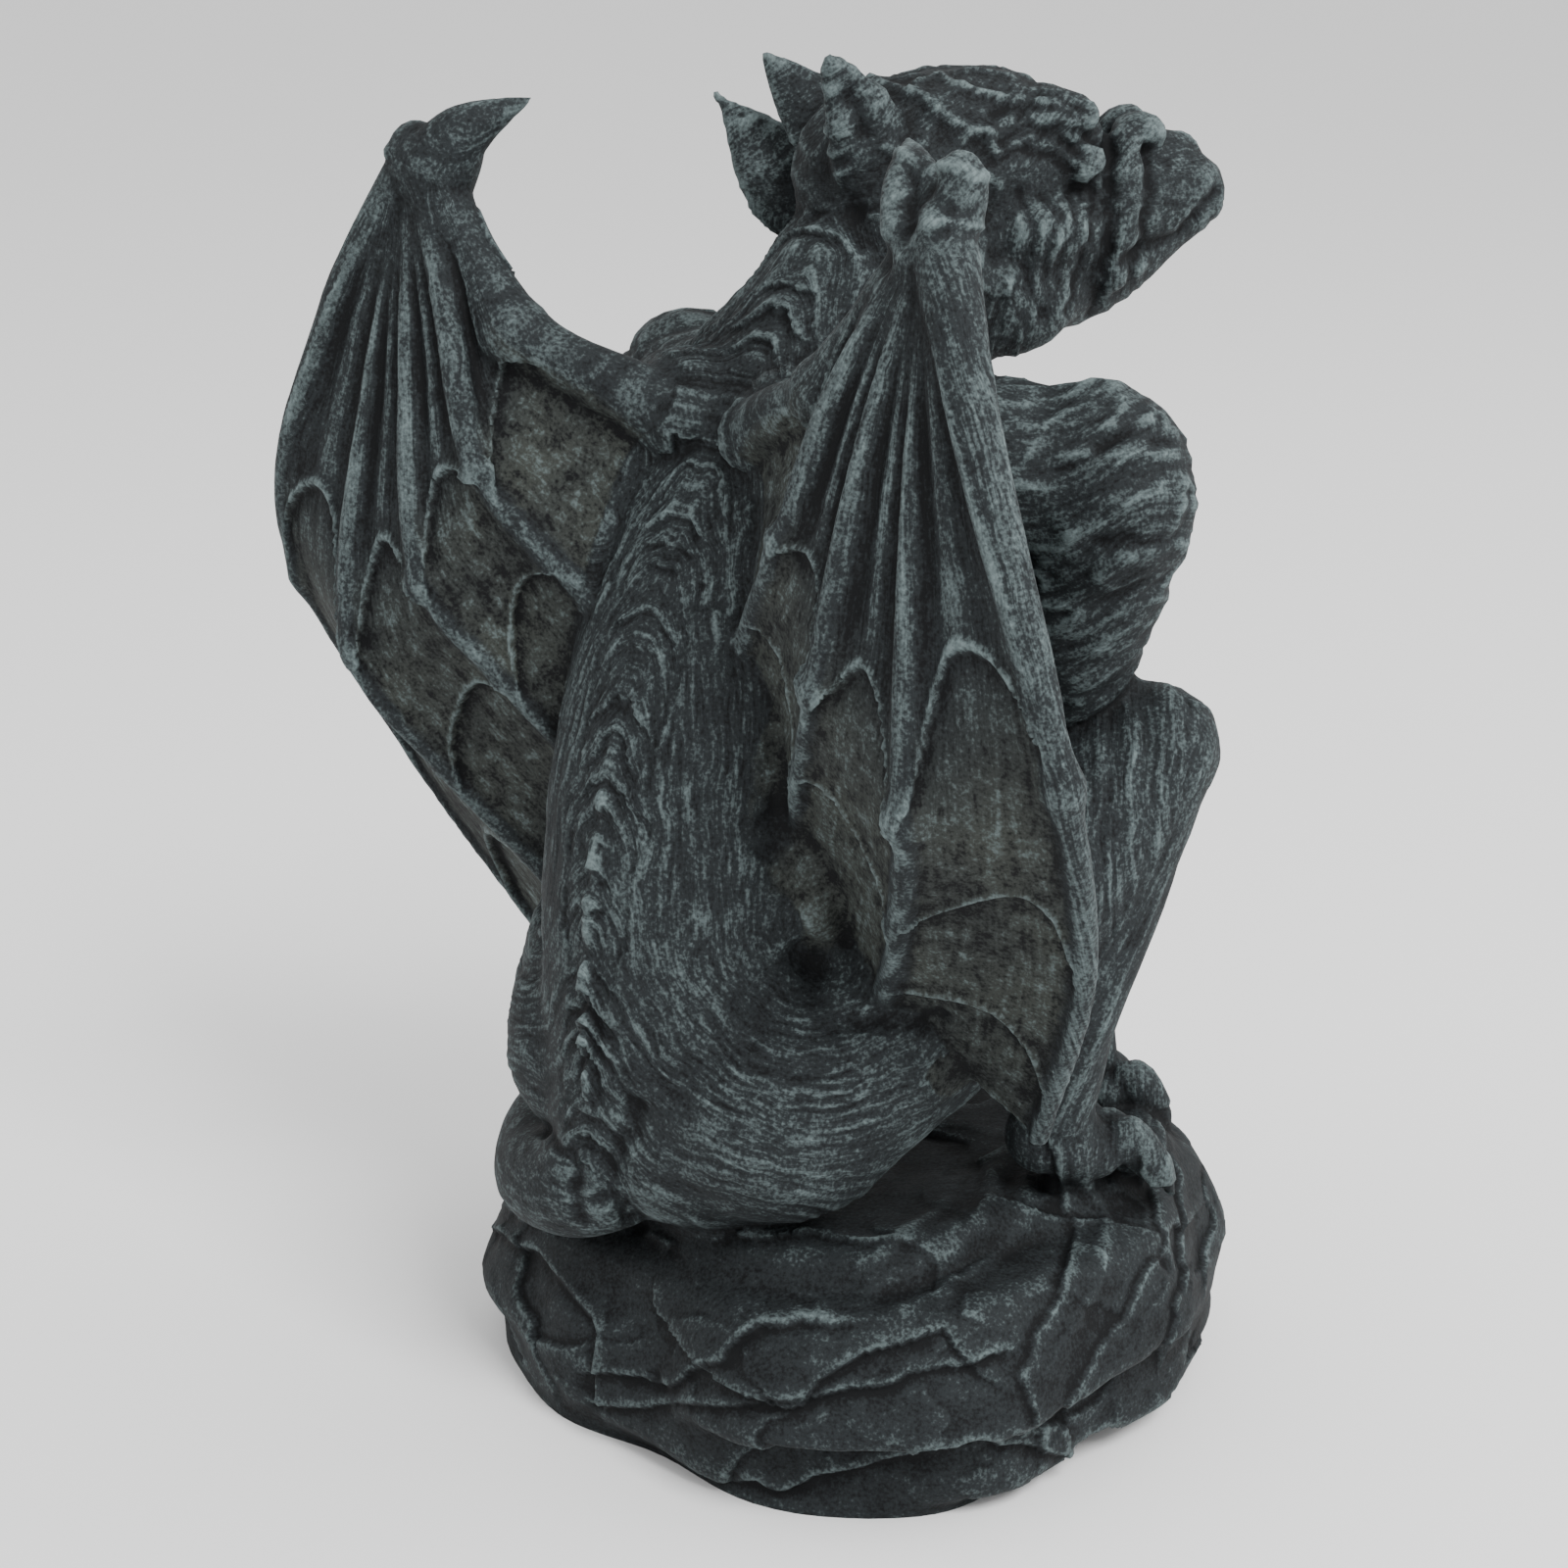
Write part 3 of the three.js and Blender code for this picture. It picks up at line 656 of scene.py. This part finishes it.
# Wing: folds that fan from the wrist, and arched rims with the skin sunk below them
f = wingU - np.floor(np.minimum(wingU, 3.999))
span = np.minimum(wingU.astype(int), 3)
onWing = wingMask & (wingOff < 4.5) & (boneSide < 4.03)
fold = np.cos((f - 0.5) * 2 * math.pi * 2)
fold = fold * (1 - smoothStep(0.3, 0.48, wingV)) * smoothStep(0.05, 0.2, wingV) * relief["wingFold"]
arches = [  # span, place down the skin, drop at the bones
    (0, 0.44, 0.16),
    (1, 0.4, 0.15), (1, 0.72, 0.13),
    (2, 0.4, 0.15), (2, 0.69, 0.12),
    (3, 0.36, 0.16), (3, 0.64, 0.13), (3, 0.86, 0.07),
]
wingLift = fold.copy()
betweenBones = smoothStep(0.0, 0.07, np.minimum(f, 1 - f))
for number, v0, drop in arches:
    rim = v0 + 1.25 * drop * (1 - np.sqrt(1 - np.minimum((2 * f - 1) ** 2, 0.97)))
    rim = rim + 0.008 * np.sin(f * 7 + number * 2 + v0 * 9)
    d = wingV - rim
    here = span == number
    sunkBelow = relief["wingSunk"] * smoothStep(0.0, 0.01, d) * np.exp(-np.maximum(d, 0) / 0.09)
    wingLift += here * betweenBones * (relief["wingRim"] * np.exp(-((d / 0.008) ** 2)) - sunkBelow)
wingFront = relax(skinSide, edges, 4) < -0.3  # plainer, and smooth over the bones
wingLift = np.where(wingFront, wingLift * smoothStep(0.06, 0.28, np.minimum(f, 1 - f)), wingLift)
lift += np.where(onWing, wingLift, 0)


# Rock: broken faces
def facets(p, size, seed):
    rng = np.random.RandomState(seed)
    low, high = p.min(0), p.max(0)
    count = int(np.prod((high - low) / size)) + 8
    centres = low + rng.rand(count, 3) * (high - low)
    planes = rng.normal(size=(count, 3))
    planes /= np.linalg.norm(planes, axis=1)[:, None]
    tree = KDTree(count)
    for i, c in enumerate(centres):
        tree.insert(c, i)
    tree.balance()
    j = np.array([tree.find(q)[1] for q in p])
    return np.einsum("ij,ij->i", p - centres[j], planes[j]) / size


rockIndex = np.nonzero(rockMask)[0]
rockPoints = co[rockIndex] * [1, 1, 1.8]
sway = [noise(rockPoints[:, k] / 11 + 5, rockPoints[:, k - 1] / 11 + 9, 40 + k) - 0.5 for k in range(3)]
rockPoints = rockPoints + 11 * np.stack(sway, axis=1)
bigFaces = np.clip(facets(rockPoints, 36, 5), -0.8, 0.8)
smallFaces = np.clip(facets(rockPoints, 12, 6), -0.8, 0.8)
lift[rockIndex] += relief["rockFace"] * bigFaces + relief["rockChip"] * smallFaces

# Strokes drawn over the photo: kind, radius and depth in mm, where it is mirrored, then pixels
strokes = [
    ("groove", 1.6, 1.2, "head", [(1149, 263), (1181, 247), (1213, 231), (1243, 197)]),
    ("groove", 1.0, 0.6, "head", [(1041, 199), (1053, 231), (1045, 263), (1053, 295), (1061, 319)]),
    ("groove", 1.0, 0.65, "head", [(1061, 199), (1081, 219), (1069, 263), (1073, 295), (1065, 319)]),
    ("groove", 1.0, 0.6, "head", [(1089, 199), (1101, 227), (1085, 263), (1081, 295), (1069, 327)]),
    ("groove", 1.0, 0.65, "head", [(1113, 199), (1117, 239), (1101, 271), (1093, 319)]),
    ("groove", 1.2, 0.8, "head", [(1131, 150), (1132, 207), (1131, 247), (1121, 295), (1109, 335)]),
    ("groove", 1.2, 0.8, "head", [(1170, 150), (1172, 200), (1163, 252)]),
    ("groove", 1.0, 0.8, "head", [(1081, 131), (1105, 135), (1121, 150)]),
    ("groove", 1.1, 0.9, "head", [(1013, 119), (1049, 99), (1077, 95), (1109, 115)]),
    ("groove", 1.0, 0.7, "head", [(1017, 131), (1049, 112), (1077, 110), (1105, 124)]),
    ("groove", 1.0, 0.7, "head", [(1021, 143), (1049, 131), (1081, 139), (1105, 159)]),
    ("groove", 1.0, 0.7, "head", [(1017, 159), (1045, 151), (1077, 163), (1097, 175)]),
    ("groove", 1.2, 1.1, "head", [(1093, 190), (1112, 193), (1126, 180)]),
    ("groove", 2.2, 1.6, "head", [(868, 95), (873, 115), (880, 130)]),
    ("groove", 1.6, 2.4, "head", [(1179, 120), (1184, 124)]),
    ("ridge", 1.0, 0.9, "head", [(892, 84), (931, 91), (969, 122), (1007, 135), (1019, 154)]),
    ("ridge", 0.9, 0.8, "head", [(931, 84), (962, 78), (988, 91), (1019, 97)]),
    ("ridge", 0.9, 0.7, "", [(975, 141), (1007, 135), (1032, 122)]),
    ("ridge", 1.0, 0.8, "head", [(905, 150), (940, 165), (985, 172), (1020, 190)]),
    ("groove", 2.6, 2.0, "", [(870, 225), (890, 250), (900, 272)]),
    ("groove", 1.8, 1.2, "body", [(870, 1040), (910, 1050), (960, 1040)]),
    ("groove", 1.8, 1.3, "body", [(1120, 452), (1150, 440), (1190, 446)]),
    ("groove", 1.8, 1.3, "body", [(1110, 560), (1150, 556), (1200, 552)]),
    ("ridge", 1.2, 1.0, "body", [(950, 231), (975, 227), (1000, 232)]),
    ("groove", 2.4, 1.8, "", [(652, 1130), (630, 1180), (620, 1222), (650, 1250)]),
    ("groove", 1.6, 1.0, "", [(560, 1150), (585, 1190), (590, 1240)]),
    ("groove", 3.0, 3.0, "", [(932, 172), (924, 200), (916, 232)]),
    ("groove", 3.0, 1.5, "body", [(792, 820), (797, 880), (812, 950), (832, 1010), (850, 1050)]),
    ("ridge", 2.2, 0.8, "", [(895, 1312), (950, 1288), (1000, 1240), (1022, 1195)]),
    ("ridge", 2.0, 0.8, "", [(925, 1340), (985, 1312), (1035, 1262), (1050, 1205)]),
    ("ridge", 1.6, 0.6, "", [(880, 1285), (925, 1265), (965, 1232)]),
    ("ridge", 1.4, 0.6, "", [(1110, 1200), (1130, 1250), (1118, 1310), (1090, 1350)]),
    ("step", 3.2, 1.5, "", [(500, 1250), (560, 1290), (600, 1340), (612, 1420)]),
    ("step", 3.0, 1.4, "", [(612, 1400), (680, 1412), (740, 1385), (770, 1350), (850, 1350)]),
    ("step", 3.0, 1.3, "", [(610, 1432), (730, 1436), (850, 1420), (1010, 1385)]),
    ("step", 3.4, 1.6, "", [(680, 1480), (730, 1505), (790, 1520), (900, 1490), (1000, 1470), (1080, 1480)]),
    ("step", 3.8, 1.0, "", [(1075, 1170), (1095, 1270), (1070, 1340), (1040, 1400), (1060, 1470)]),
    ("step", 3.2, 0.9, "", [(1165, 1195), (1190, 1270), (1150, 1335), (1110, 1390), (1085, 1450)]),
    ("step", 2.6, 1.1, "", [(1200, 1190), (1212, 1290), (1195, 1370)]),
    ("groove", 1.4, 1.0, "", [(668, 1405), (672, 1410)]),
    ("groove", 1.4, 1.2, "", [(1188, 1283), (1192, 1288)]),
]


def noiseAt(x, y, seed):
    return float(noise(np.array([x / 16]), np.array([y / 16]), seed)[0])


# Points on the skin under a line of pixels
def castStroke(points, tree):
    steps = []
    for a, b in zip(points, points[1:]):
        n = max(int(math.dist(a, b) / 4), 1)
        steps += [(a[0] + (b[0] - a[0]) * k / n, a[1] + (b[1] - a[1]) * k / n) for k in range(n)]
    steps.append(points[-1])
    steps = [(x + 9 * (noiseAt(x, y, 51) - 0.5), y + 9 * (noiseAt(x, y, 52) - 0.5)) for x, y in steps]
    hits = []
    scale = view["pixelsPerRadian"]
    for x, y in steps:
        way = -viewBack + viewRight * (x - 800) / scale - viewUp * (y - 800) / scale
        hit, _, _, _ = tree.ray_cast(Vector(viewPlace), Vector(way).normalized())
        if hit is not None:
            hits.append(np.array(hit))
    return hits


def carve(line, kind, radius, depth):
    if len(line) < 2:
        return
    line = np.array(line)
    box = ((co > line.min(0) - 2.5 * radius) & (co < line.max(0) + 2.5 * radius)).all(axis=1)
    index = np.nonzero(box)[0]
    if not len(index):
        return
    p = co[index]
    best = np.full(len(index), 1e9)
    turned = np.zeros(len(index))
    for a, b in zip(line, line[1:]):
        d = b - a
        if d @ d < 1e-9 or d @ d > 49:
            continue
        t = np.clip((p - a) @ d / (d @ d), 0, 1)
        off = p - a - t[:, None] * d
        far = np.linalg.norm(off, axis=1)
        turned = np.where(far < best, np.sign(np.cross(d, off) @ viewBack), turned)
        best = np.minimum(best, far)
    if kind == "step":  # a raised, chipped edge with the face on its right falling away
        chip = 0.7 + 0.6 * noise(p[:, 0] / 3, p[:, 2] / 3 + p[:, 1] / 3, 31)
        sides = np.where(turned > 0, 0.35, -1.0)
        lift[index] += depth * chip * np.exp(-best / radius) * sides * smoothStep(0, 0.5, best)
        lift[index] += relief["ledgeEdge"] * chip * np.exp(-((best / 0.8) ** 2))
        return
    change = depth * np.exp(-((best / radius) ** 2))
    lift[index] += change if kind == "ridge" else -change


tree = BVHTree.FromObject(gargoyle, bpy.context.evaluated_depsgraph_get())
for kindOf, radiusOf, depthHere, mirrored, points in strokes:
    line = castStroke(points, tree)
    carve(line, kindOf, radiusOf, depthHere)
    if mirrored == "body":
        carve([p * [-1, 1, 1] for p in line], kindOf, radiusOf, depthHere)
    if mirrored == "head":
        carve([p - 2 * ((p - headCentre) @ headRight) * headRight for p in line], kindOf, radiusOf, depthHere)

lift = np.where(co[:, 2] < 5, lift * smoothStep(0.3, 5, co[:, 2]), lift)
co += normals * lift[:, None]
foldInside = wingMask & wingFront & (wingU > 2.4) & (boneSide < 3.93)
foldInside = relax(foldInside.astype(float), edges, 8) > 0.3
co = np.where(foldInside[:, None], relax(co, edges, 16), co)
co[:, 2] = np.maximum(co[:, 2], 0)
low, high = np.array(cadBounds[0]) / mm + 0.05, np.array(cadBounds[1]) / mm - 0.05
print("over the CAD box by", (low - co.min(0)).round(2), (co.max(0) - high).round(2))
co = np.clip(co, low, high)
co[:, 2] = np.where(co[:, 2] < 0.2, 0, co[:, 2])

# What the colour follows: how far each point stands out of its surroundings. The fine part places the
# dry-brushed paint on raised carving; the broad part paints shade into wide hollows, such as the fold beneath
# the wings.
print("paint guides")
mesh.vertices.foreach_set("co", co.ravel())
mesh.update()
normals = normalsOf(mesh)
near = relax(co, edges, 3)
wide = relax(near, edges, 14)
fine = np.einsum("ij,ij->i", co - near, normals)
broad = np.einsum("ij,ij->i", co - wide, normals)
# fine relief for the dry-brushed paint, plus broad relief that darkens wide hollows as painted shade
ridge = 0.48 + 1.8 * fine + 0.34 * np.clip(broad, -2, 0.45)
ridge = np.clip(ridge - 0.06 * (kind == 6) - 0.05 * (kind >= 9) - 0.07 * (kind == 4), 0, 1)
values = {
    "ridge": relax(ridge, edges, 1),
    "skin": (wingMask & (np.abs(f - 0.5) < 0.42)).astype(float) * smoothStep(0.35, 0.6, wingV),
    "stone": rockMask.astype(float),
}
finer = np.where(kind == 6, 2.4, 1.25)
strand = np.stack([across / pitch * finer, along / length * finer, kind * 5.0], axis=1)


def storeAttributes(mesh):
    for name, data in values.items():
        mesh.attributes.new(name, "FLOAT", "POINT").data.foreach_set("value", data.astype(np.float32))
    layer = mesh.attributes.new("strand", "FLOAT_VECTOR", "POINT")
    layer.data.foreach_set("vector", strand.astype(np.float32).ravel())


mesh.vertices.foreach_set("co", (co * mm).ravel())
mesh.update()
storeAttributes(mesh)
triangles = len(mesh.polygons) * 2
if triangles > 194000:
    mod = gargoyle.modifiers.new("thin out", "DECIMATE")
    mod.ratio = 194000 / triangles
    graph = bpy.context.evaluated_depsgraph_get()
    thin = bpy.data.meshes.new_from_object(gargoyle.evaluated_get(graph))
    gargoyle.modifiers.clear()
    gargoyle.data = thin
    bpy.data.meshes.remove(mesh)
    mesh = thin
print("triangles", triangles, "to", sum(len(p.vertices) - 2 for p in mesh.polygons))
for p in mesh.polygons:
    p.use_smooth = True

# Material: near-black casting, dry-brushed grey-green on whatever stands out, and near-black in low places:
# dark paint in carved grooves, painted shade in wide hollows
look = {
    # near-black for low places: the dark paint in carved grooves, and painted shade in wide hollows
    "darkPaintAndShade": (0.0022, 0.0027, 0.0032),
    "body": (0.0125, 0.0155, 0.017),
    "brush": (0.114, 0.147, 0.149),
    "olive": (0.034, 0.038, 0.032),
    "roughness": 0.8,
}


def stoneMaterial():
    material = bpy.data.materials.new("cast stone")
    material.use_nodes = True
    nodes, links = material.node_tree.nodes, material.node_tree.links
    shader = nodes["Principled BSDF"]
    shader.inputs["Roughness"].default_value = look["roughness"]
    shader.inputs["Specular IOR Level"].default_value = 0.18

    def attribute(name, output):
        node = nodes.new("ShaderNodeAttribute")
        node.attribute_name = name
        return node.outputs[output]

    def calc(operation, a, b=None, clamp=False):
        node = nodes.new("ShaderNodeMath")
        node.operation = operation
        node.use_clamp = clamp
        for k, value in enumerate((a, b)):
            if value is None:
                continue
            if isinstance(value, (int, float)):
                node.inputs[k].default_value = value
            else:
                links.new(value, node.inputs[k])
        return node.outputs[0]

    def textureOf(vector, scale, detail, rough):
        node = nodes.new("ShaderNodeTexNoise")
        node.inputs["Scale"].default_value = scale
        node.inputs["Detail"].default_value = detail
        node.inputs["Roughness"].default_value = rough
        links.new(vector, node.inputs["Vector"])
        return node.outputs["Fac"]

    def mix(fac, a, b):
        node = nodes.new("ShaderNodeMix")
        node.data_type = "RGBA"
        links.new(fac, node.inputs["Factor"])
        for socket, value in ((node.inputs[6], a), (node.inputs[7], b)):
            if isinstance(value, tuple):
                socket.default_value = (*value, 1)
            else:
                links.new(value, socket)
        return node.outputs[2]

    place = nodes.new("ShaderNodeTexCoord").outputs["Object"]
    ridgeValue = attribute("ridge", "Fac")
    strandPlace = attribute("strand", "Vector")
    streak = textureOf(strandPlace, 2.2, 3.0, 0.65)
    grain = textureOf(place, 1500.0, 2.0, 0.6)
    patch = textureOf(place, 55.0, 2.0, 0.5)
    stoneValue = attribute("stone", "Fac")
    skinValue = attribute("skin", "Fac")
    scratch = textureOf(place, 260.0, 4.0, 0.7)
    smooth = calc("ADD", stoneValue, calc("MULTIPLY", skinValue, 0.35))
    plain = calc("SUBTRACT", 1.0, calc("MULTIPLY", smooth, 0.85))
    streaked = calc("MULTIPLY", calc("MULTIPLY", calc("SUBTRACT", streak, 0.5), 0.95), plain)
    height = calc("ADD", calc("MULTIPLY", ridgeValue, 0.95), streaked)
    scratched = calc("ADD", calc("MULTIPLY", skinValue, 0.9), 0.5)
    height = calc("ADD", height, calc("MULTIPLY", calc("SUBTRACT", scratch, 0.5), scratched))
    height = calc("SUBTRACT", height, calc("MULTIPLY", stoneValue, 0.13))
    height = calc("ADD", height, calc("MULTIPLY", calc("SUBTRACT", grain, 0.5), 0.9))
    height = calc("ADD", height, calc("MULTIPLY", calc("SUBTRACT", patch, 0.5), 0.5))
    brushed = calc("MULTIPLY", calc("SUBTRACT", height, 0.49), 1.75, clamp=True)
    # low places turn near-black: dark paint in carved grooves, painted shade in wide hollows
    sunk = calc("MULTIPLY", calc("SUBTRACT", 0.42, height), 3.4, clamp=True)
    oliveAmount = calc("MULTIPLY", calc("MULTIPLY", skinValue, 1.1), patch)
    colour = mix(oliveAmount, look["body"], look["olive"])
    colour = mix(brushed, colour, look["brush"])
    colour = mix(sunk, colour, look["darkPaintAndShade"])
    links.new(colour, shader.inputs["Base Color"])
    bump = nodes.new("ShaderNodeBump")
    bump.inputs["Strength"].default_value = 0.35
    bump.inputs["Distance"].default_value = 0.0006
    links.new(calc("ADD", calc("MULTIPLY", streak, 1.0), calc("MULTIPLY", grain, 0.5)), bump.inputs["Height"])
    links.new(bump.outputs["Normal"], shader.inputs["Normal"])
    return material


mesh.materials.clear()
mesh.materials.append(stoneMaterial())
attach(gargoyle, "root")
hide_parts("gargoyle_on_rock")

# Floor, light and camera
print("stage")
bpy.ops.mesh.primitive_plane_add(size=12, location=(0, 0, 0))
floor = bpy.context.object
floor.name = "floor"
paper = bpy.data.materials.new("paper")
paper.use_nodes = True
paper.node_tree.nodes["Principled BSDF"].inputs["Base Color"].default_value = (0.86, 0.86, 0.86, 1)
paper.node_tree.nodes["Principled BSDF"].inputs["Roughness"].default_value = 0.9
floor.data.materials.append(paper)


def addLight(name, place, size, power):
    data = bpy.data.lights.new(name, "AREA")
    data.size = size
    data.energy = power
    light = bpy.data.objects.new(name, data)
    bpy.context.scene.collection.objects.link(light)
    light.location = place
    light.rotation_euler = (Vector((0, 0, 0.12)) - Vector(place)).to_track_quat("-Z", "Y").to_euler()


studio = {
    "lights": [  # name, place, size and power in W
        ("key", (-1.1, 0.3, 1.3), 0.6, 32),
        ("fill", (0.6, 1.3, 0.8), 1.2, 3),
        ("front", (-0.9, -0.9, 0.8), 1.0, 8),
    ],
    "world": 1.15,
}
for light in studio["lights"]:
    addLight(*light)
world = bpy.data.worlds.new("studio")
world.use_nodes = True
world.node_tree.nodes["Background"].inputs["Color"].default_value = (1, 1, 1, 1)
world.node_tree.nodes["Background"].inputs["Strength"].default_value = studio["world"]
bpy.context.scene.world = world

cameraData = bpy.data.cameras.new("camera")
cameraData.sensor_width = 36
cameraData.lens = 36 * view["pixelsPerRadian"] / 1600
camera = bpy.data.objects.new("camera", cameraData)
bpy.context.scene.collection.objects.link(camera)
camera.location = Vector(viewPlace * mm)
turn = Matrix((viewRight, viewUp, viewBack)).transposed()
camera.rotation_euler = turn.to_euler()
bpy.context.scene.camera = camera
